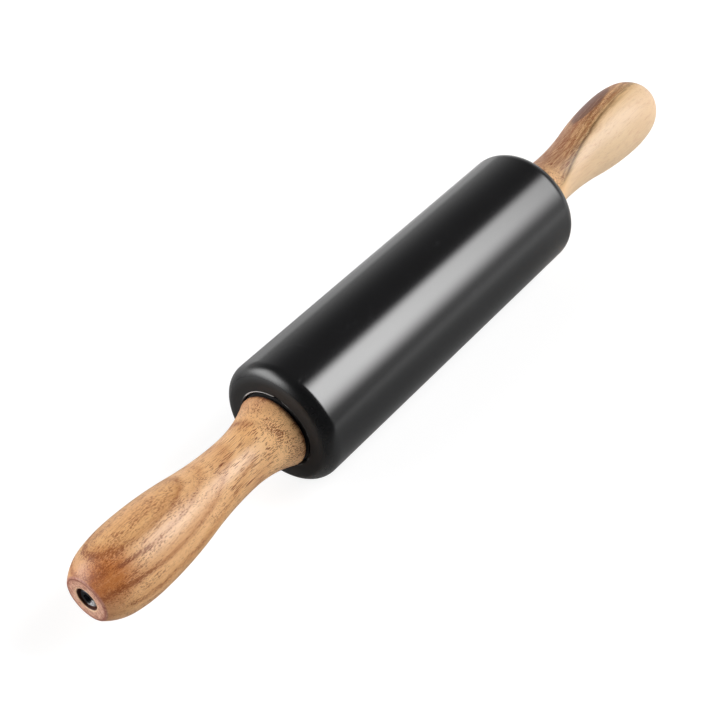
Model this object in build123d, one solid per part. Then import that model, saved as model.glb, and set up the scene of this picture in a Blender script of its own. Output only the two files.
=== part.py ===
from build123d import *
import os

# Marble rolling pin, in millimetres. X runs along the axle and +Z is up. The origin is the middle of the barrel.
# Every piece is turned about the X axis, so each one starts as half an outline in the XZ plane.

# Barrel
barrel_diameter = 60.0
barrel_length = 195.0
barrel_edge_radius = 7.0
edge_to_wall_share = 0.75
recess_diameter = 36.8
recess_rim_chamfer = 0.5

# Axle rod, with a thinner threaded length at each end
rod_diameter = 8.0
thread_diameter = 6.0
thread_length = 6.0
thread_tip_chamfer = 0.7

# Bushes that the rod turns in
bush_wall = 3.0
bush_length = 32.0
bush_flange_thickness = 1.8
bush_lead_in = 0.8

# Handle outline, from the base against the barrel to the tip
handle_length = 113.3
base_over_recess = 1.2
base_corner_radius = 2.4
neck_diameter = 25.0
grip_diameter = 35.6
tip_face_diameter = 20.8
tip_face_edge_radius = 1.2

# Neck and grip as shares of the handle's length, and where between these two the curve turns over
neck_place_share = 0.231
grip_place_share = 0.77
turn_over_share = 0.465

# Where the nose starts between grip and tip, and how much of the difference in diameter it still has there
nose_place_share = 0.535
nose_fullness_share = 0.82

# Hole in the tip of each handle, and the end washer and end nut in it
end_hole_diameter = 10.6
end_hole_rim_chamfer = 0.4
washer_thickness = 1.0
nut_below_tip = 0.7
nut_edge_chamfer = 1.4
nut_web = 1.3
socket_across_flats = 4.0
socket_depth = 2.4

# Clearances
rod_to_bush_gap = 0.05
rod_to_handle_gap = 0.08
handle_end_play = 0.3
flange_side_gap = 0.6
flange_below_face = 0.6
end_hole_side_gap = 0.35
washer_bore_gap = 0.1
thread_end_gap = 0.3

# How far a cutting shape runs past the face it opens, and how closely an edge is matched to its place
overrun = 1.0
edge_match = 0.001

# Sizes that follow from the ones above. The rounded ends of the barrel stay clear of its recesses.
barrel_wall = (barrel_diameter - recess_diameter) / 2
end_rounding = min(barrel_edge_radius, edge_to_wall_share * barrel_wall)
bore_diameter = rod_diameter + 2 * (rod_to_bush_gap + bush_wall)
flange_diameter = recess_diameter - 2 * flange_side_gap
recess_depth = bush_flange_thickness + flange_below_face
base_diameter = recess_diameter + base_over_recess
hardware_diameter = end_hole_diameter - 2 * end_hole_side_gap

# Places along the axle, from the middle of the barrel outwards
barrel_face = barrel_length / 2
recess_floor = barrel_face - recess_depth
bush_face = recess_floor + bush_flange_thickness
bush_inner_end = bush_face - bush_length
handle_base = bush_face + handle_end_play
handle_tip = handle_base + handle_length
nut_outer_face = handle_tip - nut_below_tip
nut_bore_end = nut_outer_face - socket_depth - nut_web
thread_end = nut_bore_end - thread_end_gap
rod_shoulder = thread_end - thread_length
nut_inner_face = rod_shoulder + washer_thickness
end_hole_floor = rod_shoulder - handle_end_play


def turned(outline):
    """A solid turned about the axle from a closed outline of edges in the XZ plane."""
    return revolve(make_face(outline), Axis.X)


def ring(inner_diameter, outer_diameter, start, end):
    """A plain ring or disc round the axle, from start to end along X."""
    inner = inner_diameter / 2
    outer = outer_diameter / 2
    corners = [(start, 0, inner), (start, 0, outer), (end, 0, outer), (end, 0, inner)]
    return turned(Polyline(*corners, close=True))


def circles_at(solid, radius, place):
    """The circular edges of a solid that have this radius and lie at this place along X."""
    circles = solid.edges().filter_by(GeomType.CIRCLE)
    same_radius = circles.filter_by(lambda edge: abs(edge.radius - radius) < edge_match)
    return same_radius.filter_by(lambda edge: abs(edge.center().X - place) < edge_match)


def mirrored(solid):
    """The same solid at the other end of the pin."""
    return mirror(solid, about=Plane.YZ)


def make_barrel():
    """Marble cylinder with rounded ends, a bore for the bushes and a recess for each bush flange."""
    barrel = ring(0, barrel_diameter, -barrel_face, barrel_face)
    ends = circles_at(barrel, barrel_diameter / 2, barrel_face)
    ends += circles_at(barrel, barrel_diameter / 2, -barrel_face)
    barrel = fillet(ends, end_rounding)
    barrel -= ring(0, bore_diameter, -barrel_face - overrun, barrel_face + overrun)
    recess = ring(0, recess_diameter, recess_floor, barrel_face + overrun)
    barrel -= recess
    barrel -= mirrored(recess)
    rims = circles_at(barrel, recess_diameter / 2, barrel_face)
    rims += circles_at(barrel, recess_diameter / 2, -barrel_face)
    return chamfer(rims, recess_rim_chamfer)


def make_bush():
    """Flanged sleeve: the sleeve fills the bore and the flange lies on the recess floor."""
    sleeve = ring(0, bore_diameter, bush_inner_end, bush_face)
    sleeve = chamfer(circles_at(sleeve, bore_diameter / 2, bush_inner_end), bush_lead_in)
    bush = sleeve + ring(0, flange_diameter, recess_floor, bush_face)
    running_bore = rod_diameter + 2 * rod_to_bush_gap
    return bush - ring(0, running_bore, bush_inner_end - overrun, bush_face + overrun)


def make_rod():
    """Steel rod, shouldered at both ends to the thread diameter."""
    rod = ring(0, rod_diameter, -rod_shoulder, rod_shoulder)
    rod += ring(0, thread_diameter, -thread_end, thread_end)
    tips = circles_at(rod, thread_diameter / 2, thread_end)
    tips += circles_at(rod, thread_diameter / 2, -thread_end)
    return chamfer(tips, thread_tip_chamfer)


def handle_point(place_share, diameter):
    """Point of the handle outline, from its place along the handle and its diameter there."""
    return Vector(handle_base + place_share * handle_length, 0, diameter / 2)


def nearest_corner(face, place):
    """The corner of a flat face that lies nearest to a place."""
    return face.vertices().sort_by_distance(place)[0]


def handle_half():
    """Half outline of a handle as a face: tangent arcs for flare, swell, grip and nose, with rounded ends."""
    base_edge = handle_point(0, base_diameter)
    neck = handle_point(neck_place_share, neck_diameter)
    grip = handle_point(grip_place_share, grip_diameter)
    tip_edge = handle_point(1, tip_face_diameter)
    turn_over = neck + (grip - neck) * turn_over_share
    nose_place = grip.X + (tip_edge.X - grip.X) * nose_place_share
    nose_start = Vector(nose_place, 0, tip_edge.Z + (grip.Z - tip_edge.Z) * nose_fullness_share)
    flare = TangentArc(neck, base_edge, tangent=(-1, 0, 0))
    hollow = TangentArc(neck, turn_over, tangent=(1, 0, 0))
    swell = TangentArc(turn_over, grip, tangent=hollow % 1)
    shoulder = TangentArc(grip, nose_start, tangent=(1, 0, 0))
    nose = TangentArc(nose_start, tip_edge, tangent=shoulder % 1)
    closing = Polyline(tip_edge, (handle_tip, 0, 0), (handle_base, 0, 0), base_edge)
    half = make_face(flare + hollow + swell + shoulder + nose + closing)
    half = fillet(nearest_corner(half, base_edge), base_corner_radius)
    return fillet(nearest_corner(half, tip_edge), tip_face_edge_radius)


def make_handle():
    """Turned wooden handle with a bore that turns on the rod and a hole for the end hardware."""
    handle = revolve(handle_half(), Axis.X)
    rod_bore = rod_diameter + 2 * rod_to_handle_gap
    handle -= ring(0, rod_bore, handle_base - overrun, handle_tip + overrun)
    handle -= ring(0, end_hole_diameter, end_hole_floor, handle_tip + overrun)
    return chamfer(circles_at(handle, end_hole_diameter / 2, handle_tip), end_hole_rim_chamfer)


def make_end_washer():
    """Flat washer on the shoulder of the rod."""
    return ring(thread_diameter + 2 * washer_bore_gap, hardware_diameter, rod_shoulder, nut_inner_face)


def make_end_nut():
    """Round sleeve nut: blind bore for the thread, hexagon socket in the outer face."""
    nut = ring(0, hardware_diameter, nut_inner_face, nut_outer_face)
    nut = chamfer(circles_at(nut, hardware_diameter / 2, nut_outer_face), nut_edge_chamfer)
    nut -= ring(0, thread_diameter, nut_inner_face - overrun, nut_bore_end)
    socket_plane = Plane(origin=(nut_outer_face - socket_depth, 0, 0), x_dir=(0, 1, 0), z_dir=(1, 0, 0))
    socket = socket_plane * RegularPolygon(socket_across_flats / 2, 6, major_radius=False)
    return nut - extrude(socket, socket_depth + overrun)


def save(node, solid):
    """Write one piece to its own file."""
    export_step(solid, f"parts/{node}.step")


def main():
    os.makedirs("parts", exist_ok=True)
    save("marble_barrel", make_barrel())
    save("axle_rod", make_rod())
    paired = {
        "bush": make_bush(),
        "handle": make_handle(),
        "end_washer": make_end_washer(),
        "end_nut": make_end_nut(),
    }
    for name, solid in paired.items():
        save(f"right_{name}", solid)
        save(f"left_{name}", mirrored(solid))


main()
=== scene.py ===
import math

import bpy
from mathutils import Matrix, Vector, noise


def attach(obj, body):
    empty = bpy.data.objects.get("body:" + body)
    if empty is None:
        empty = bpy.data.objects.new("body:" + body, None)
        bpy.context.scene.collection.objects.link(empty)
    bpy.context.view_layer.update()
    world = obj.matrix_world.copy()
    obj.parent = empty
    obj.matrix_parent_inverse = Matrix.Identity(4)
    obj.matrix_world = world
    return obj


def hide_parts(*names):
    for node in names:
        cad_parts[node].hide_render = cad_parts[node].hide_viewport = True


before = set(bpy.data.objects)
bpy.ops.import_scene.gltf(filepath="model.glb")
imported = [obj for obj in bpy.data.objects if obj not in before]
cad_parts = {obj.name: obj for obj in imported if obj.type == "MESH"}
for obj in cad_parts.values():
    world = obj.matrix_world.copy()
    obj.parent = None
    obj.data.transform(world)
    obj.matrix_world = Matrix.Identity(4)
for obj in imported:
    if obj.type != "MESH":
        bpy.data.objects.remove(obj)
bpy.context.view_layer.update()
MM = 0.001

# The sizes that the turned pieces share with the CAD solids, in millimetres
BARREL_RADIUS = 30.0
BARREL_FACE = 97.5
BARREL_EDGE = 7.0
RECESS_RADIUS = 18.4
RECESS_RIM = 0.5
RECESS_FLOOR = 95.1
BORE_RADIUS = 7.05
HANDLE_BASE = 97.2
HANDLE_LENGTH = 113.3
BASE_RADIUS = 19.0
BASE_CORNER = 2.4
NECK_RADIUS = 12.5
GRIP_RADIUS = 17.8
TIP_RADIUS = 10.4
TIP_EDGE = 1.2
NECK_PLACE = 0.231
GRIP_PLACE = 0.77
TURN_OVER = 0.465
NOSE_PLACE = 0.535
NOSE_FULLNESS = 0.82
ROD_BORE_RADIUS = 4.08
END_HOLE_RADIUS = 5.3
END_HOLE_RIM = 0.4
END_HOLE_FLOOR = 199.5

# Directions round the axle: up towards the camera, and sideways towards the lower right of the picture
TOWARDS_CAMERA = (0.0, -0.532, 0.847)
TOWARDS_RIGHT = (0.0, -0.847, -0.532)


# Node graphs


def linear(colour):
    """An sRGB colour, 0 to 255, as the linear colour that shaders take."""
    shares = [channel / 255 for channel in colour]
    straight_until = 10 / 255
    curved = [s / 12.92 if s <= straight_until else ((s + 0.055) / 1.055) ** 2.4 for s in shares]
    return (*curved, 1.0)


class Graph:
    """Short ways to add nodes to a material or world."""

    def __init__(self, owner):
        owner.use_nodes = True
        self.tree = owner.node_tree
        self.tree.nodes.clear()

    def node(self, kind, inputs=None, **settings):
        node = self.tree.nodes.new(kind)
        for key, value in settings.items():
            setattr(node, key, value)
        for key, value in (inputs or {}).items():
            self.plug(node.inputs[key], value)
        return node

    def plug(self, socket, value):
        if isinstance(value, bpy.types.NodeSocket):
            self.tree.links.new(value, socket)
        else:
            socket.default_value = value

    def math(self, operation, a, b=0.0):
        return self.node("ShaderNodeMath", {0: a, 1: b}, operation=operation).outputs[0]

    def add(self, a, b):
        return self.math("ADD", a, b)

    def sub(self, a, b):
        return self.math("SUBTRACT", a, b)

    def mul(self, a, b):
        return self.math("MULTIPLY", a, b)

    def size(self, a):
        return self.math("ABSOLUTE", a)

    def greatest(self, a, b):
        return self.math("MAXIMUM", a, b)

    def clamp(self, a):
        return self.math("MINIMUM", self.greatest(a, 0.0), 1.0)

    def root_of_squares(self, *values):
        total = 0.0
        for value in values:
            total = self.add(total, self.mul(value, value))
        return self.math("SQRT", total)

    def away(self, point, centre, stretch=1.0):
        """Distance of a point (x, u, w) from a centre; stretch below 1 draws the rounds out along x."""
        x, u, w = (self.sub(p, c) for p, c in zip(point, centre))
        return self.root_of_squares(self.mul(x, stretch), u, w)

    def smooth(self, value, low, high):
        """0 below low, 1 above high, smooth between; low may lie above high."""
        flip = low > high
        node = self.node(
            "ShaderNodeMapRange",
            {"Value": value, "From Min": min(low, high), "From Max": max(low, high)},
            interpolation_type="SMOOTHSTEP",
        )
        out = node.outputs["Result"]
        return self.sub(1.0, out) if flip else out

    def window(self, value, low, full_from, full_to, high):
        """0 outside low and high, 1 from full_from to full_to, smooth between."""
        return self.mul(self.smooth(value, low, full_from), self.smooth(value, high, full_to))

    def bump_at(self, value, middle, half_width):
        """1 at the middle, falling to 0 half_width away on both sides."""
        return self.smooth(self.size(self.sub(value, middle)), half_width, 0.0)

    def ramp(self, value, stops):
        node = self.node("ShaderNodeValToRGB", {"Fac": value})
        elements = node.color_ramp.elements
        while len(elements) < len(stops):
            elements.new(0.5)
        # Places first, so that the colours go to elements that no longer move
        for element, (place, _) in zip(elements, stops):
            element.position = place
        for element, (_, colour) in zip(elements, stops):
            element.color = linear(colour)
        return node.outputs["Color"]

    def mix(self, factor, a, b):
        node = self.node("ShaderNodeMix", data_type="RGBA", blend_type="MIX")
        factor_input, a_input, b_input = node.inputs[0], node.inputs[6], node.inputs[7]
        self.plug(factor_input, factor)
        self.plug(a_input, a)
        self.plug(b_input, b)
        return node.outputs[2]

    def tint(self, base, factor, colour, strength=1.0):
        """The base with an sRGB colour laid over it as far as the factor goes."""
        return self.mix(self.mul(factor, strength), base, linear(colour))

    def noise(self, vector, scale=1.0, detail=2.0, roughness=0.5):
        inputs = {"Vector": vector, "Scale": scale, "Detail": detail, "Roughness": roughness}
        return self.node("ShaderNodeTexNoise", inputs).outputs[0]

    def grain_noise(self, point, along, across, detail=2.0, roughness=0.5):
        """Noise with one scale along the grain and another across it."""
        x, u, w = point
        vector = self.vector(self.mul(x, along), self.mul(u, across), self.mul(w, across))
        return self.noise(vector, 1.0, detail, roughness)

    def place(self):
        """Object coordinates in millimetres."""
        metres = self.node("ShaderNodeTexCoord").outputs["Object"]
        scaled = self.node("ShaderNodeVectorMath", {0: metres, "Scale": 1 / MM}, operation="SCALE")
        return scaled.outputs[0]

    def split(self, vector):
        """The x, y and z of a vector."""
        return self.node("ShaderNodeSeparateXYZ", {0: vector}).outputs

    def dot(self, vector, direction):
        node = self.node("ShaderNodeVectorMath", {0: vector, 1: direction}, operation="DOT_PRODUCT")
        return node.outputs["Value"]

    def vector(self, x, y, z):
        return self.node("ShaderNodeCombineXYZ", {0: x, 1: y, 2: z}).outputs[0]

    def principled(self, **inputs):
        named = {key.replace("_", " "): value for key, value in inputs.items()}
        shader = self.node("ShaderNodeBsdfPrincipled", named)
        self.node("ShaderNodeOutputMaterial", {"Surface": shader.outputs[0]})

    def bump(self, height, distance, strength=1.0):
        inputs = {"Height": height, "Distance": distance, "Strength": strength}
        return self.node("ShaderNodeBump", inputs).outputs[0]


def new_material(name):
    """A material without nodes, and its graph."""
    material = bpy.data.materials.new(name)
    return material, Graph(material)


# Wood. Lengths are millimetres, colours are sRGB.
# Points are (x, u, w): along the axle, towards the right of the picture and towards the camera.

STREAK_LIGHT = (240, 200, 152)
STREAK_DARK = (140, 74, 38)
PORE = (122, 54, 14)
# Painted light on the flare, on its lower right side
FLARE_PAINTED_LIGHT = (255, 208, 150)
NOSE = (190, 114, 72)
SHOULDER = (184, 112, 64)
# Painted shade at the edge of the base, beside the barrel
BASE_PAINTED_SHADE = (102, 42, 26)
FACE_DEEP = (196, 140, 118)
FACE_PALE = (238, 196, 168)
FACE_RIM_PAINTED_SHADE = (158, 94, 82)
TIP_RIM_LINE = (120, 62, 50)
FACE_STREAK = (132, 62, 52)
FACE_INNER_PAINTED_LIGHT = (236, 200, 160)
HOLE_WALL_PAINTED_SHADE = (84, 50, 38)
WOOD_IOR = 1.48

# Kinds of pores: length, width, shift across the grain, share of the density, change of this share on the
# neck, and strength
PORE_KINDS = (
    (1.4, 0.42, 0.0, 1.0, -0.25, 0.7),
    (2.6, 0.55, 17.3, 0.8, -0.3, 0.72),
    (8.0, 0.34, 31.7, 0.66, 0.68, 1.0),
)

# Left handle: centre of the ovals, how far they are drawn out, their tones by distance from the centre,
# and the rows of pores (distance, half width)
OVAL_CENTRE = (-177.0, -15.0, 12.0)
OVAL_STRETCH = math.sqrt(0.22)
OVAL_REACH = 50.0
OVAL_TONES = (
    (0.00, (220, 168, 116)),
    (0.18, (214, 164, 112)),
    (0.24, (196, 144, 92)),
    (0.27, (226, 178, 128)),
    (0.34, (214, 162, 112)),
    (0.39, (228, 180, 130)),
    (0.48, (208, 154, 104)),
    (0.53, (230, 182, 130)),
    (0.61, (212, 158, 104)),
    (0.66, (226, 178, 126)),
    (0.75, (210, 156, 106)),
    (0.80, (222, 174, 122)),
    (0.92, (208, 154, 102)),
    (1.00, (216, 166, 114)),
)
PORE_ROWS = ((12.5, 1.7), (17.5, 1.3), (24.5, 1.5), (30.7, 1.5), (37.5, 1.8), (46.0, 2.0), (55.0, 2.0))
ROW_BROWN = (156, 90, 42)
BAND_BROWN = (150, 90, 50)
NOSE_PATCH = (-204.0, -1.0, 14.0)
NOSE_PATCH_BROWN = (184, 108, 50)

# Right handle: tones from the heartwood (0) to the sapwood (1), the line between them, and the patch
HEART_TO_SAP_TONES = (
    (0.00, (156, 112, 82)),
    (0.10, (162, 120, 88)),
    (0.20, (152, 106, 76)),
    (0.26, (178, 134, 94)),
    (0.31, (152, 106, 70)),
    (0.35, (196, 152, 106)),
    (0.40, (150, 104, 66)),
    (0.45, (212, 170, 120)),
    (0.52, (214, 176, 128)),
    (0.58, (234, 200, 158)),
    (0.70, (238, 204, 166)),
    (0.85, (234, 200, 160)),
    (1.00, (238, 206, 166)),
)
HEART_LINE = (88, 56, 20)
SAP_FLECK = (216, 168, 132)
PURPLE_PATCH = (172.0, -16.5, 7.5)
PURPLE_PATCH_STRETCH = math.sqrt(0.08)
PURPLE_PATCH_BROWN = (92, 58, 50)


def pores(g, point, length, width, density):
    """Short dark dashes along the grain: cells of one length and width, each with its own size of pore."""
    x, u, w = point
    cells = g.vector(g.mul(x, 1 / length), g.mul(u, 1 / width), g.mul(w, 1 / width))
    voronoi = g.node("ShaderNodeTexVoronoi", {"Vector": cells, "Scale": 1.0, "Randomness": 1.0})
    random = g.node("ShaderNodeSeparateColor", {"Color": voronoi.outputs["Color"]}).outputs[0]
    least, spread, soft_edge = 0.35, 0.8, 0.1
    reach = g.mul(density, g.add(g.mul(random, spread), least))
    return g.smooth(g.sub(reach, voronoi.outputs["Distance"]), 0.0, soft_edge)


def grain(g, place, seed, sway):
    """The point (x, u, w) in coordinates that follow the grain, which wanders a little along the handle."""
    x = g.dot(place, (1, 0, 0))
    u = g.dot(place, TOWARDS_RIGHT)
    w = g.dot(place, TOWARDS_CAMERA)

    def wave(along, across, height):
        shifted = g.add(g.mul(w, across), seed)
        level = g.noise(g.vector(g.mul(x, along), g.mul(u, across), shifted))
        return g.mul(g.sub(level, 0.5), height)

    wander = g.add(wave(0.03, 0.06, sway), wave(0.07, 0.2, 0.7))
    return x, g.add(u, wander), g.add(w, g.mul(wander, 0.6))


def streaked(g, colour, contrast, point):
    """The colour with streaks a few millimetres wide and fine fibres, and the fibres by themselves."""
    streaks = g.grain_noise(point, 0.022, 0.7, 4.0, 0.65)
    fibres = g.grain_noise(point, 0.1, 2.3, 3.0, 0.75)
    tone = g.add(g.mul(g.sub(streaks, 0.5), 1.2), g.mul(g.sub(fibres, 0.5), 2.0))
    tone = g.mul(tone, contrast)
    colour = g.tint(colour, g.clamp(tone), STREAK_LIGHT, 0.7)
    return g.tint(colour, g.clamp(g.mul(tone, -1.0)), STREAK_DARK), fibres


def painted_light_on_flare(g, colour, place, from_tip):
    """Painted light: paler wood on the flare at the base, on the side towards the lower right of the picture.
    """
    flare = g.smooth(from_tip, HANDLE_LENGTH - 28.0, HANDLE_LENGTH - 9.0)
    side = g.smooth(g.dot(place, TOWARDS_RIGHT), -13.0, 0.0)
    return g.tint(colour, g.mul(flare, side), FLARE_PAINTED_LIGHT, 0.75)


def pore_dashes(g, point, crowding, from_tip):
    """Pores of all kinds, denser where they crowd; on the neck there are more long ones."""
    x, u, w = point
    neck = g.smooth(from_tip, 50.0, 78.0)
    clouds = g.smooth(g.grain_noise(point, 0.04, 0.26), 0.38, 0.66)
    loose = g.mul(clouds, g.sub(0.26, g.mul(neck, 0.12)))
    crowding = g.add(crowding, g.mul(g.smooth(from_tip, 90.0, 106.0), 0.12))
    density = g.add(g.mul(crowding, 0.46), loose)
    dashes = 0.0
    for length, width, shift, share, neck_change, strength in PORE_KINDS:
        kind_density = g.mul(density, g.add(g.mul(neck, neck_change), share))
        kind = pores(g, (x, u, g.add(w, shift)), length, width, kind_density)
        dashes = g.greatest(dashes, g.mul(kind, strength))
    return dashes


def darker_ends_and_painted_base_shade(g, colour, place, from_tip):
    """The nose is darker and redder, as end grain drinks more oil, and the flare a little darker and redder
    towards the base; painted shade darkens the edge at the base, where the wood turns in beside the barrel.
    """
    ragged = g.mul(g.sub(g.noise(place, 1.9, 3.0, 0.8), 0.5), 5.0)
    flare = g.smooth(from_tip, HANDLE_LENGTH - 24.0, HANDLE_LENGTH - 3.0)
    # Painted shade on the last few millimetres at the base
    edge = g.smooth(g.add(from_tip, ragged), HANDLE_LENGTH - 3.2, HANDLE_LENGTH - 0.8)
    colour = g.tint(colour, g.smooth(from_tip, 9.0, 0.5), NOSE, 0.3)
    colour = g.tint(colour, flare, SHOULDER, 0.15)
    return g.tint(colour, edge, BASE_PAINTED_SHADE, 0.75)


def tip_face(g, colour, place, point, from_tip):
    """Turning marks and end grain on the flat tip, with a red-brown rim darkened by painted shade, a ring of
    painted light round the hole, and painted shade on the wall in the hole.
    """
    _, u, w = point
    radius = g.root_of_squares(g.dot(place, (0, 1, 0)), g.dot(place, (0, 0, 1)))
    marks = g.noise(g.vector(radius, g.mul(u, 0.15), g.mul(w, 0.15)), 2.6, 3.0, 0.7)
    end_grain = g.noise(g.vector(g.mul(u, 0.35), g.mul(w, 1.4), 0.0), 1.0, 4.0, 0.8)
    face = g.mix(g.smooth(marks, 0.35, 0.65), linear(FACE_DEEP), linear(FACE_PALE))
    # Red-brown rim of the wood, darkened by painted shade on its rounding
    face = g.tint(face, g.smooth(radius, 8.2, 10.0), FACE_RIM_PAINTED_SHADE, 0.6)
    face = g.tint(face, g.bump_at(radius, 9.9, 0.5), TIP_RIM_LINE, 0.7)
    face = g.tint(face, g.smooth(end_grain, 0.5, 0.57), FACE_STREAK, 0.75)
    # Painted light: a paler ring round the edge of the hole
    face = g.tint(face, g.smooth(radius, 6.6, 5.8), FACE_INNER_PAINTED_LIGHT, 0.5)
    on_face = g.greatest(g.smooth(from_tip, 0.9, 0.15), g.smooth(radius, 5.9, 5.6))
    colour = g.mix(g.mul(on_face, 0.95), colour, face)
    # Painted shade on the wall of the hole
    return g.tint(colour, g.smooth(radius, 5.5, 5.32), HOLE_WALL_PAINTED_SHADE)


def wood(name, figure, seed, tip_x, roughness, sway):
    """Oiled acacia: the figure function gives the colour of the growth rings and where pores crowd."""
    material, g = new_material(name)
    place = g.place()
    x, u, w = grain(g, place, seed, sway)
    colour, crowding, contrast = figure(g, (x, u, w))
    seeded = (x, u, g.add(w, seed))
    from_tip = g.size(g.sub(x, tip_x))
    colour, fibres = streaked(g, colour, contrast, seeded)
    # Painted light on the lower right of the flare
    colour = painted_light_on_flare(g, colour, place, from_tip)
    dashes = pore_dashes(g, seeded, crowding, from_tip)
    colour = g.tint(colour, dashes, PORE, 0.92)
    colour = darker_ends_and_painted_base_shade(g, colour, place, from_tip)
    colour = tip_face(g, colour, place, seeded, from_tip)
    relief = g.sub(g.mul(fibres, 0.3), dashes)
    g.principled(
        Base_Color=colour,
        Roughness=g.add(g.add(roughness, g.mul(fibres, 0.12)), g.mul(dashes, 0.1)),
        IOR=WOOD_IOR,
        Normal=g.bump(relief, 0.05 * MM, 0.7),
    )
    return material


def left_figure(g, point):
    """Flat-sawn figure: long ovals round a centre on the upper left of the grip, as rings cut at a slant."""
    x, u, _ = point
    ring = g.away(point, OVAL_CENTRE, OVAL_STRETCH)
    colour = g.ramp(g.mul(ring, 1 / OVAL_REACH), OVAL_TONES)

    # Rows of pores along the ring lines, which fade in and out and mostly end before the neck
    rows = 0.0
    for distance, half_width in PORE_ROWS:
        rows = g.add(rows, g.bump_at(ring, distance, half_width))
    fading = g.grain_noise(point, 0.045, 0.09)
    rows = g.mul(rows, g.smooth(fading, 0.3, 0.55))
    rows = g.mul(rows, g.sub(1.0, g.mul(g.smooth(x, -152.0, -138.0), 0.85)))
    inside = g.smooth(ring, 13.0, 10.0)
    near_nose = g.smooth(x, -176.0, -190.0)
    crowding = g.add(g.mul(rows, g.add(g.mul(near_nose, 0.7), 0.3)), 0.55)
    crowding = g.add(crowding, g.mul(inside, 0.16))

    # A band of darker wood that crosses the flare at a slant
    band = g.bump_at(g.add(x, g.mul(u, -0.45)), -107.5, 3.2)
    band = g.mul(band, g.smooth(fading, 0.3, 0.5))
    colour = g.tint(colour, band, BAND_BROWN, 0.4)
    crowding = g.add(crowding, g.mul(band, 0.2))

    # Red-brown patch on the nose
    patch = g.mul(g.smooth(g.away(point, NOSE_PATCH), 16.0, 5.0), 0.9)
    colour = g.tint(colour, patch, NOSE_PATCH_BROWN)
    crowding = g.add(crowding, g.mul(patch, 0.22))
    return g.tint(colour, rows, ROW_BROWN, 0.28), crowding, 1.0


def heart_line(g, point, depth, spread):
    """The dark line between heartwood and sapwood: sharp on the neck, frayed on the grip, and its double."""
    x = point[0]
    frayed = g.grain_noise(point, 0.07, 1.3, 4.0, 0.75)
    sharp = g.mul(g.bump_at(depth, -0.4, 1.6), g.add(g.mul(g.smooth(x, 104.0, 118.0), 0.7), 0.3))
    sharp = g.mul(sharp, g.sub(1.0, g.mul(spread, 0.35)))
    middle = g.add(g.mul(spread, 0.8), -1.2)
    fuzzy = g.mul(g.bump_at(depth, middle, 4.4), g.smooth(frayed, 0.4, 0.6))
    double = g.mul(g.bump_at(depth, -4.6, 1.0), g.window(x, 150.0, 160.0, 172.0, 186.0))
    return g.greatest(g.greatest(sharp, g.mul(fuzzy, 0.7)), g.mul(double, 0.7))


def right_figure(g, point):
    """Pale sapwood against brown heartwood, with a dark line where they meet."""
    x, u, _ = point
    from_end = g.sub(200.0, x)
    bow = g.mul(g.mul(from_end, from_end), 0.0021)
    depth = g.add(g.sub(u, bow), 9.5)
    spread = g.smooth(x, 160.0, 186.0)
    stretch = g.sub(0.04, g.mul(g.mul(spread, 0.022), g.smooth(depth, -0.5, 0.5)))
    colour = g.ramp(g.clamp(g.add(g.mul(depth, stretch), 0.5)), HEART_TO_SAP_TONES)
    colour = g.tint(colour, heart_line(g, point, depth, spread), HEART_LINE, 0.92)

    # Pinkish flecks on the sapwood
    flecks = g.smooth(g.grain_noise(point, 0.12, 0.6, 4.0, 0.75), 0.52, 0.66)
    colour = g.tint(colour, g.mul(flecks, g.smooth(depth, 0.5, 2.5)), SAP_FLECK, 0.45)

    # A smooth purplish patch of heartwood on the grip
    patch = g.smooth(g.away(point, PURPLE_PATCH, PURPLE_PATCH_STRETCH), 6.6, 5.0)
    colour = g.tint(colour, patch, PURPLE_PATCH_BROWN, 0.9)
    heart = g.smooth(depth, 1.5, -1.5)
    crowding = g.sub(g.mul(heart, g.sub(0.98, g.mul(patch, 0.3))), 0.36)
    contrast = g.add(g.mul(heart, g.sub(1.3, patch)), 0.4)
    return colour, crowding, contrast


# Stone, metal and nylon

STONE_DARK = (15, 15, 16)
STONE_LIGHT = (23, 23, 24)
STONE_SPECK = (46, 46, 48)
STONE_VEIN = (58, 58, 60)
STONE_RIM_GLINT = (214, 214, 214)
STONE_IOR = 1.55
NUT_DARK = (52, 53, 58)
NUT_LIGHT = (78, 79, 84)
NUT_PAINTED_HIGHLIGHT = (214, 214, 216)
NUT_HIGHLIGHT_SPECK = (128, 128, 132)
NYLON_DARK = (20, 20, 21)
NYLON_LIGHT = (34, 33, 33)
ROD_STEEL = ((188, 188, 190), (170, 170, 172))
WASHER_STEEL = ((196, 196, 198), (170, 170, 170))


def hairlines(g, place, clouds):
    """Thin broken veins: the borders of large warped cells, where the clouds are light."""
    shift = g.node("ShaderNodeTexNoise", {"Vector": place, "Scale": 0.05, "Detail": 3.0}).outputs[1]
    inputs = {0: shift, 1: (40, 40, 40), 2: place}
    warped = g.node("ShaderNodeVectorMath", inputs, operation="MULTIPLY_ADD").outputs[0]
    inputs = {"Vector": warped, "Scale": 0.018}
    edges = g.node("ShaderNodeTexVoronoi", inputs, feature="DISTANCE_TO_EDGE").outputs["Distance"]
    return g.mul(g.smooth(edges, 0.012, 0.0), g.smooth(clouds, 0.5, 0.62))


def rims_with_painted_glint(g, place, x, y, z, radius):
    """Painted glint on the rims of the recesses: strongest on the upper left of the left rim, near the chip,
    with paler ragged spots all round.
    """
    angle = g.math("DEGREES", g.math("ARCTAN2", z, y))
    rim = g.mul(g.bump_at(radius, 18.98, 0.52), g.smooth(g.size(x), 96.8, 97.1))
    sector = g.mul(g.window(angle, 22.0, 38.0, 90.0, 93.0), g.smooth(x, 0.0, -1.0))
    ragged = g.smooth(g.noise(place, 0.35, 3.0, 0.7), 0.45, 0.7)
    return g.mul(rim, g.clamp(g.add(g.mul(sector, 0.9), g.mul(ragged, 0.25))))


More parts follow.
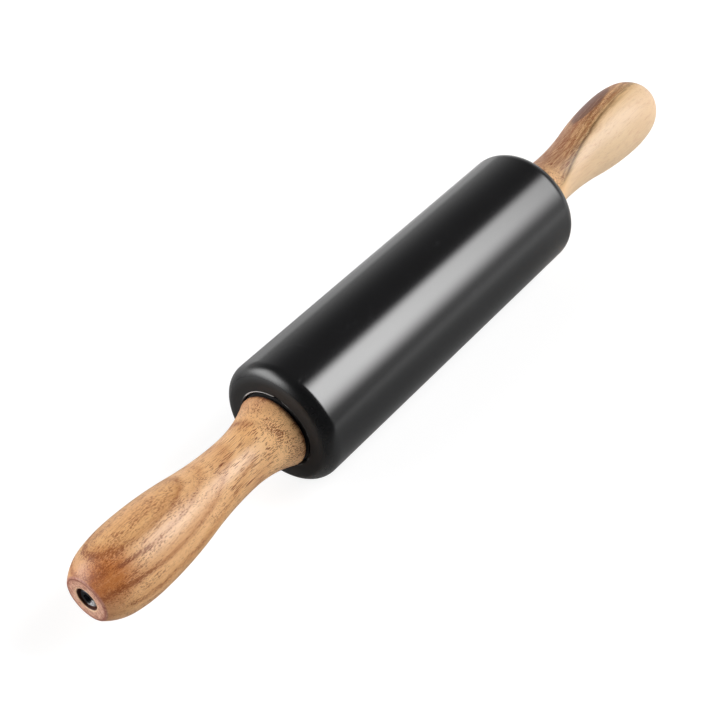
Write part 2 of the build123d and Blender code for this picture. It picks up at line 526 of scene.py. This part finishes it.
def marble(name):
    """Satin-polished black stone: almost even, with soft clouds, a few hairlines and a painted glint on the
    recess rims.
    """
    material, g = new_material(name)
    place = g.place()
    x, y, z = g.split(place)
    radius = g.root_of_squares(y, z)
    clouds = g.noise(place, 0.035, 4.0, 0.6)
    specks = g.noise(place, 1.1, 3.0, 0.7)
    colour = g.mix(clouds, linear(STONE_DARK), linear(STONE_LIGHT))
    colour = g.tint(colour, g.smooth(specks, 0.62, 0.8), STONE_SPECK, 0.2)
    colour = g.tint(colour, hairlines(g, place, clouds), STONE_VEIN, 0.25)
    # Painted glint on the recess rims
    colour = g.tint(colour, rims_with_painted_glint(g, place, x, y, z, radius), STONE_RIM_GLINT)

    # The side is the smoothest, then the rounded ends, the end faces and the rims of the recesses
    smears = g.node("ShaderNodeVectorMath", {0: place, 1: (0.012, 0.09, 0.09)}, operation="MULTIPLY")
    smears = g.noise(smears.outputs[0], 1.0, 3.0, 0.6)
    rounding = g.smooth(g.size(x), 91.5, 95.0)
    on_face = g.smooth(g.size(x), 96.6, 97.35)
    rough_rim = g.mul(g.smooth(radius, 19.4, 18.9), 0.35)
    roughness = g.add(g.add(0.15, g.mul(smears, 0.06)), g.mul(rounding, 0.09))
    roughness = g.add(roughness, g.mul(on_face, g.add(0.32, rough_rim)))
    relief = g.bump(specks, 0.01 * MM, 0.15)
    g.principled(Base_Color=colour, Roughness=roughness, IOR=STONE_IOR, Normal=relief)
    return material


def metal(name, colours, roughness):
    """Plated steel in two tones, with faint turning marks and stains."""
    material, g = new_material(name)
    place = g.place()
    x, y, z = g.split(place)
    stains = g.noise(place, 0.5, 4.0, 0.6)
    grooves = g.vector(g.mul(x, 3.0), g.mul(g.root_of_squares(y, z), 6.0), 0.0)
    grooves = g.noise(grooves)
    main, other = colours
    g.principled(
        Base_Color=g.mix(stains, linear(main), linear(other)),
        Roughness=g.add(roughness - 0.08, g.mul(g.add(stains, grooves), 0.09)),
        Metallic=1.0,
        Normal=g.bump(grooves, 0.02 * MM, 0.5),
    )
    return material


def oxide_nut_with_painted_highlight(name):
    """Black oxide, with a painted highlight: pale and less metallic on one side of the bevel round the outer
    face.
    """
    material, g = new_material(name)
    place = g.place()
    x, y, z = g.split(place)
    stains = g.noise(place, 0.9, 4.0, 0.6)
    outer = g.smooth(g.size(x), 208.0, 208.4)
    side = g.add(g.dot(place, TOWARDS_RIGHT), g.mul(stains, 2.8))
    # Painted highlight on the side of the bevel towards the lower right of the picture
    painted_highlight = g.mul(outer, g.smooth(side, 2.5, 3.6))
    specks = g.noise(place, 2.2, 3.0, 0.7)
    pale = g.mix(g.smooth(specks, 0.42, 0.62), linear(NUT_PAINTED_HIGHLIGHT), linear(NUT_HIGHLIGHT_SPECK))
    oxide = g.mix(stains, linear(NUT_DARK), linear(NUT_LIGHT))
    scratches = g.noise(g.vector(g.mul(g.root_of_squares(y, z), 5.0), g.mul(x, 5.0), 0.0))
    g.principled(
        Base_Color=g.mix(painted_highlight, oxide, pale),
        Roughness=g.add(0.36, g.mul(scratches, 0.16)),
        Metallic=g.sub(1.0, g.mul(painted_highlight, 0.75)),
        Normal=g.bump(scratches, 0.02 * MM, 0.5),
    )
    return material


def nylon(name):
    """Moulded black nylon: matt, slightly grained."""
    material, g = new_material(name)
    place = g.place()
    grain_marks = g.noise(place, 2.5, 3.0, 0.6)
    g.principled(
        Base_Color=g.mix(g.noise(place, 0.15), linear(NYLON_DARK), linear(NYLON_LIGHT)),
        Roughness=g.add(0.5, g.mul(grain_marks, 0.15)),
        Normal=g.bump(grain_marks, 0.03 * MM, 0.4),
    )
    return material


# Turned shapes. Outlines are lists of (x, radius).

CORNER_POINTS = 5
RIM_ROUNDING = 0.3
RIM_SUPPORT = 0.05
HOLE_ROUNDING = 0.2
HOLE_SUPPORT = 0.1
INNER_ROUNDING = 0.1
BARREL_SEGMENTS = 448
HANDLE_SEGMENTS = 256


def arc(centre, radius, start, end, count):
    """Points on a circle from one angle to another, both included."""
    angles = [start + (end - start) * i / (count - 1) for i in range(count)]
    return [(centre[0] + radius * math.cos(a), centre[1] + radius * math.sin(a)) for a in angles]


def tangent_arc(start, end, direction):
    """(centre, radius, end direction) of the arc from start to end that leaves start in a direction."""
    dx, dy = direction
    size = math.hypot(dx, dy)
    normal = (-dy / size, dx / size)
    chord = (end[0] - start[0], end[1] - start[1])
    radius = (chord[0] ** 2 + chord[1] ** 2) / (2 * (chord[0] * normal[0] + chord[1] * normal[1]))
    centre = (start[0] + normal[0] * radius, start[1] + normal[1] * radius)
    reach = ((end[0] - centre[0]) / radius, (end[1] - centre[1]) / radius)
    return centre, abs(radius), (reach[1], -reach[0])


def sweep(centre, start, end, count):
    """Points along the shorter arc about a centre, from start to end."""
    first = math.atan2(start[1] - centre[1], start[0] - centre[0])
    last = math.atan2(end[1] - centre[1], end[0] - centre[0])
    turn = (last - first + math.pi) % (2 * math.pi) - math.pi
    radius = math.hypot(start[0] - centre[0], start[1] - centre[1])
    return arc(centre, radius, first, first + turn, count)


def corner(before, at, after, radius, support=0.12):
    """A small rounding at a corner between two straight lines, with a supporting point on each side."""
    back = Vector((before[0] - at[0], before[1] - at[1]))
    onward = Vector((after[0] - at[0], after[1] - at[1]))
    cut = radius / math.tan(back.angle(onward) / 2)
    start = Vector(at) + back.normalized() * cut
    end = Vector(at) + onward.normalized() * cut
    inwards = (back.normalized() + onward.normalized()).normalized()
    centre = Vector(at) + inwards * math.hypot(cut, radius)
    lead = Vector(at) + back.normalized() * min(cut + support, back.length / 2)
    trail = Vector(at) + onward.normalized() * min(cut + support, onward.length / 2)
    return [tuple(lead), *sweep(centre, start, end, CORNER_POINTS), tuple(trail)]


def lathe(name, points, segments, shape=None):
    """A closed outline in millimetres turned about the X axis; shape may move each point."""
    vertices = []
    for i in range(segments):
        angle = 2 * math.pi * i / segments
        for x, radius in points:
            v = Vector((x, radius * math.cos(angle), radius * math.sin(angle)))
            vertices.append((shape(v) if shape else v) * MM)
    count = len(points)
    faces = []
    for i in range(segments):
        j = (i + 1) % segments
        for k in range(count):
            m = (k + 1) % count
            faces.append((i * count + k, j * count + k, j * count + m, i * count + m))
    mesh = bpy.data.meshes.new(name)
    mesh.from_pydata(vertices, [], faces)
    mesh.validate()
    for polygon in mesh.polygons:
        polygon.use_smooth = True
    piece = bpy.data.objects.new(name, mesh)
    bpy.context.scene.collection.objects.link(piece)
    return piece


def barrel_points():
    """Outline of the barrel from the middle of its bore round to the same place, both ends alike."""
    face = BARREL_FACE
    bore_edge = (RECESS_FLOOR, BORE_RADIUS)
    recess_corner = (RECESS_FLOOR, RECESS_RADIUS)
    rim_start = (face - RECESS_RIM, RECESS_RADIUS)
    rim_end = (face, RECESS_RADIUS + RECESS_RIM)
    edge_centre = (face - BARREL_EDGE, BARREL_RADIUS - BARREL_EDGE)
    right = [
        (60, BORE_RADIUS),
        (94, BORE_RADIUS),
        *corner((60, BORE_RADIUS), bore_edge, recess_corner, 0.15),
        *corner(bore_edge, recess_corner, (face, RECESS_RADIUS), 0.25),
        *corner(recess_corner, rim_start, rim_end, RIM_ROUNDING, RIM_SUPPORT),
        *corner(rim_start, rim_end, (face, edge_centre[1]), RIM_ROUNDING, RIM_SUPPORT),
        (face, 20.2),
        (face, 21.6),
        *arc(edge_centre, BARREL_EDGE, 0, math.pi / 2, 21),
        (edge_centre[0] - 0.8, BARREL_RADIUS),
        (80, BARREL_RADIUS),
        (45, BARREL_RADIUS),
    ]
    left = [(-x, r) for x, r in reversed(right)]
    return [(0, BORE_RADIUS)] + right + [(0, BARREL_RADIUS)] + left


def handle_points(side):
    """Outline of a handle on the right (1) or left (-1) side, the same arcs as the CAD solid."""
    tip_x = HANDLE_BASE + HANDLE_LENGTH
    base = (HANDLE_BASE, BASE_RADIUS)
    neck = (HANDLE_BASE + NECK_PLACE * HANDLE_LENGTH, NECK_RADIUS)
    grip = (HANDLE_BASE + GRIP_PLACE * HANDLE_LENGTH, GRIP_RADIUS)
    tip = (tip_x, TIP_RADIUS)
    over = tuple(n + (g - n) * TURN_OVER for n, g in zip(neck, grip))
    nose = (grip[0] + (tip[0] - grip[0]) * NOSE_PLACE, tip[1] + (grip[1] - tip[1]) * NOSE_FULLNESS)

    flare, flare_radius, _ = tangent_arc(neck, base, (-1, 0))
    hollow, _, lean = tangent_arc(neck, over, (1, 0))
    swell, _, _ = tangent_arc(over, grip, lean)
    shoulder, _, fall = tangent_arc(grip, nose, (1, 0))
    front, front_radius, _ = tangent_arc(nose, tip, fall)

    # Rounded corner between the flare and the base face
    x = HANDLE_BASE + BASE_CORNER
    corner_centre = (x, flare[1] - math.sqrt((flare_radius + BASE_CORNER) ** 2 - (x - flare[0]) ** 2))
    towards = Vector(flare) - Vector(corner_centre)
    flare_start = tuple(Vector(corner_centre) + towards.normalized() * BASE_CORNER)
    base_turn = sweep(corner_centre, (HANDLE_BASE, corner_centre[1]), flare_start, 15)

    # Rounded corner between the nose and the tip face
    x = tip_x - TIP_EDGE
    edge_centre = (x, front[1] + math.sqrt((front_radius - TIP_EDGE) ** 2 - (x - front[0]) ** 2))
    outwards = Vector(edge_centre) - Vector(front)
    nose_end = tuple(Vector(front) + outwards.normalized() * front_radius)
    tip_turn = sweep(edge_centre, nose_end, (tip_x, edge_centre[1]), 6)

    # Hole for the washer and nut, and the bore that turns on the rod
    hole_rim = (tip_x, END_HOLE_RADIUS + END_HOLE_RIM)
    hole_edge = (tip_x - END_HOLE_RIM, END_HOLE_RADIUS)
    hole_corner = (END_HOLE_FLOOR, END_HOLE_RADIUS)
    bore_start = (END_HOLE_FLOOR, ROD_BORE_RADIUS)
    bore_middle = (150, ROD_BORE_RADIUS)
    bore_end = (HANDLE_BASE, ROD_BORE_RADIUS)

    points = [
        *base_turn,
        *sweep(flare, flare_start, neck, 26)[1:],
        *sweep(hollow, neck, over, 16)[1:],
        *sweep(swell, over, grip, 16)[1:],
        *sweep(shoulder, grip, nose, 12)[1:],
        *sweep(front, nose, nose_end, 20)[1:],
        *tip_turn[1:],
        (tip_x, (hole_rim[1] + TIP_RADIUS) / 2),
        *corner(tip, hole_rim, hole_edge, HOLE_ROUNDING, HOLE_SUPPORT),
        *corner(hole_rim, hole_edge, hole_corner, HOLE_ROUNDING, HOLE_SUPPORT),
        (tip_x - 5, END_HOLE_RADIUS),
        *corner((tip_x, END_HOLE_RADIUS), hole_corner, bore_start, INNER_ROUNDING),
        *corner(hole_corner, bore_start, bore_end, INNER_ROUNDING),
        bore_middle,
        *corner(bore_middle, bore_end, (HANDLE_BASE, 12), INNER_ROUNDING),
        (HANDLE_BASE, 9),
        (HANDLE_BASE, corner_centre[1] - 0.3),
    ]
    return [(side * x, r) for x, r in points]


def barrel_wear(v):
    """A chip in the rim of the left recess and a nick on the left rounded edge, as in the photograph."""
    radial = Vector((0, v.y, v.z)).normalized()
    into_rim = Vector((0.6, 0, 0)) + 0.8 * radial
    worn_places = (
        (Vector((-97.2, -0.8, 18.75)), 1.3, 0.75, into_rim),
        (Vector((-97.3, -3.3, 18.5)), 0.8, 0.35, into_rim),
        (Vector((-90.9, -9.2, 28.6)), 0.7, 0.08, -radial),
    )
    for place, size, depth, way in worn_places:
        away = (v - place).length / (1.6 * size)
        if away < 1:
            ragged = 1 + 0.5 * noise.noise(v * 2.5)
            v = v + way * depth * ragged * (1 - away * away) ** 2
    return v


# The object

barrel = lathe("barrel_marble", barrel_points(), BARREL_SEGMENTS, barrel_wear)
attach(barrel, "barrel")
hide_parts("marble_barrel")
barrel.data.materials.append(marble("black_marble"))

# Side, word, figure, roughness, and how far the grain sways
handles = (
    (-1, "left", left_figure, 0.26, 3.4),
    (1, "right", right_figure, 0.38, 1.8),
)
for side, word, figure, roughness, sway in handles:
    handle = lathe(f"{word}_handle_wood", handle_points(side), HANDLE_SEGMENTS)
    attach(handle, f"{word}_grip")
    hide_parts(f"{word}_handle")
    tip_x = side * (HANDLE_BASE + HANDLE_LENGTH)
    handle.data.materials.append(wood(f"acacia_{word}", figure, 3.7 + side, tip_x, roughness, sway))

finishes = {
    "axle_rod": metal("steel_rod", ROD_STEEL, 0.3),
    "end_washer": metal("steel_washer", WASHER_STEEL, 0.35),
    "end_nut": oxide_nut_with_painted_highlight("dark_nut"),
    "bush": nylon("nylon_bush"),
}
for node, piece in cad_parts.items():
    for ending, material in finishes.items():
        if node.endswith(ending):
            piece.data.materials.clear()
            piece.data.materials.append(material)


# Floor and light

WHITE = (1, 1, 1, 1)
FLOOR_CORNERS = 64
FLOOR_RADIUS = 12.0
FLOOR_GREY = 0.82
MAIN_BOX_STRENGTH = 11.9
SECOND_BOX_STRENGTH = 6.5
LENS = 74.527
CAMERA_PLACE = (-0.4225, -0.2922, 0.46061)
CAMERA_RIGHT = (0.60653, -0.79506, 0.00142)
CAMERA_FORWARD = (0.57300, 0.43589, -0.69403)


def floor_material(name):
    """Pale grey that takes the shadow, white to the camera, and with painted shade and painted light in
    reflections, by place.
    """
    material, g = new_material(name)
    path = g.node("ShaderNodeLightPath").outputs
    place = g.node("ShaderNodeNewGeometry").outputs["Position"]
    camera = g.clamp(g.add(path["Is Camera Ray"], path["Is Transmission Ray"]))
    mirrored = path["Is Glossy Ray"]

    # Mirrored rays see painted shade on the camera's side and a painted shadow under the left handle, painted
    # light close behind the barrel, and a glow where they come from far
    far = g.smooth(path["Ray Length"], 0.06, 0.35)
    lit = g.smooth(g.dot(place, (-0.79, -0.6, 0.0)), 0.26, 0.12)
    # Painted shadow under the left handle, seen only in reflections
    under = g.smooth(g.dot(place, (-1.0, 0.0, 0.0)), 0.1, 0.125)
    beyond = g.smooth(g.dot(place, (0.79, 0.6, 0.0)), 0.03, 0.16)
    beyond = g.mul(beyond, g.smooth(path["Ray Length"], 0.2, 0.1))
    level = g.add(g.mul(lit, g.sub(0.36, g.mul(under, 0.2))), g.mul(beyond, 0.35))

    seen = g.add(g.mul(camera, 0.3), g.mul(mirrored, g.add(0.06, level)))
    others = g.sub(1.0, g.add(camera, mirrored))
    grey = g.add(seen, g.mul(others, FLOOR_GREY))
    strength = g.add(g.mul(camera, 0.8), g.mul(g.mul(g.mul(mirrored, far), lit), 0.62))
    colour = g.node("ShaderNodeCombineColor", {0: grey, 1: grey, 2: grey}).outputs[0]
    diffuse = g.node("ShaderNodeBsdfDiffuse", {"Color": colour}).outputs[0]
    glow = g.node("ShaderNodeEmission", {"Color": WHITE, "Strength": strength}).outputs[0]
    both = g.node("ShaderNodeAddShader", {0: diffuse, 1: glow}).outputs[0]
    g.node("ShaderNodeOutputMaterial", {"Surface": both})
    return material


def make_floor():
    """Floor under the barrel, wide enough to fill the picture."""
    last_angle = 2 * math.pi * (FLOOR_CORNERS - 1) / FLOOR_CORNERS
    ring = arc((0, 0), FLOOR_RADIUS, 0, last_angle, FLOOR_CORNERS)
    mesh = bpy.data.meshes.new("floor")
    mesh.from_pydata([(x, y, -BARREL_RADIUS * MM) for x, y in ring], [], [list(range(FLOOR_CORNERS))])
    floor = bpy.data.objects.new("floor", mesh)
    bpy.context.scene.collection.objects.link(floor)
    mesh.materials.append(floor_material("pale_floor"))


def make_world():
    """Studio light from all round: two soft boxes, a pale horizon and a dark ceiling, white to the camera."""
    world = bpy.data.worlds.new("studio")
    bpy.context.scene.world = world
    g = Graph(world)
    direction = g.node("ShaderNodeTexCoord").outputs["Generated"]
    x, y, z = g.split(direction)

    # Main soft box: a band to the right of the pin, given by its angle about the axle and along it
    round_axle = g.math("DEGREES", g.math("ARCTAN2", z, g.mul(y, -1.0)))
    box = g.mul(g.window(round_axle, 10.0, 46.0, 64.0, 82.0), g.window(x, 0.35, 0.43, 0.58, 0.82))
    main = g.mul(box, MAIN_BOX_STRENGTH)

    # Second soft box: behind the left handle
    azimuth = g.math("DEGREES", g.math("ARCTAN2", y, x))
    side = g.mul(g.window(azimuth, 95.0, 118.0, 147.0, 172.0), g.window(z, -0.15, 0.4, 0.52, 0.84))
    second = g.mul(side, SECOND_BOX_STRENGTH)

    # Pale horizon, dark ceiling, a dark side where the camera stands, and a faint strip below the main box
    pale = g.add(0.09, g.mul(g.smooth(z, 0.75, 0.0), 0.56))
    near_camera = g.add(g.mul(x, -0.8), g.mul(y, -0.6))
    pale = g.mul(pale, g.add(0.06, g.mul(g.smooth(near_camera, 0.35, -0.1), 0.94)))
    below = g.window(round_axle, -10.0, 4.0, 12.0, 34.0)
    pale = g.add(pale, g.mul(g.mul(below, g.smooth(x, 0.33, 0.43)), 0.22))
    studio = g.add(g.add(main, second), pale)

    path = g.node("ShaderNodeLightPath").outputs
    white = g.clamp(g.add(path["Is Camera Ray"], path["Is Transmission Ray"]))
    strength = g.add(g.mul(studio, g.sub(1.0, white)), white)
    background = g.node("ShaderNodeBackground", {"Color": WHITE, "Strength": strength})
    g.node("ShaderNodeOutputWorld", {"Surface": background.outputs[0]})


def make_camera():
    """Camera from the fit of the barrel's outline, turned slightly to share the lean of the real handles."""
    data = bpy.data.cameras.new("camera")
    data.sensor_width = 36.0
    data.lens = LENS
    data.clip_start = 0.01
    data.clip_end = 100.0
    camera = bpy.data.objects.new("camera", data)
    right = Vector(CAMERA_RIGHT).normalized()
    forward = Vector(CAMERA_FORWARD).normalized()
    up = right.cross(forward).normalized()
    turn = Matrix((right, up, -forward)).transposed().to_4x4()
    camera.matrix_world = Matrix.Translation(CAMERA_PLACE) @ turn
    bpy.context.scene.collection.objects.link(camera)
    bpy.context.scene.camera = camera


make_floor()
make_world()
make_camera()
bpy.context.scene.view_settings.view_transform = "Standard"
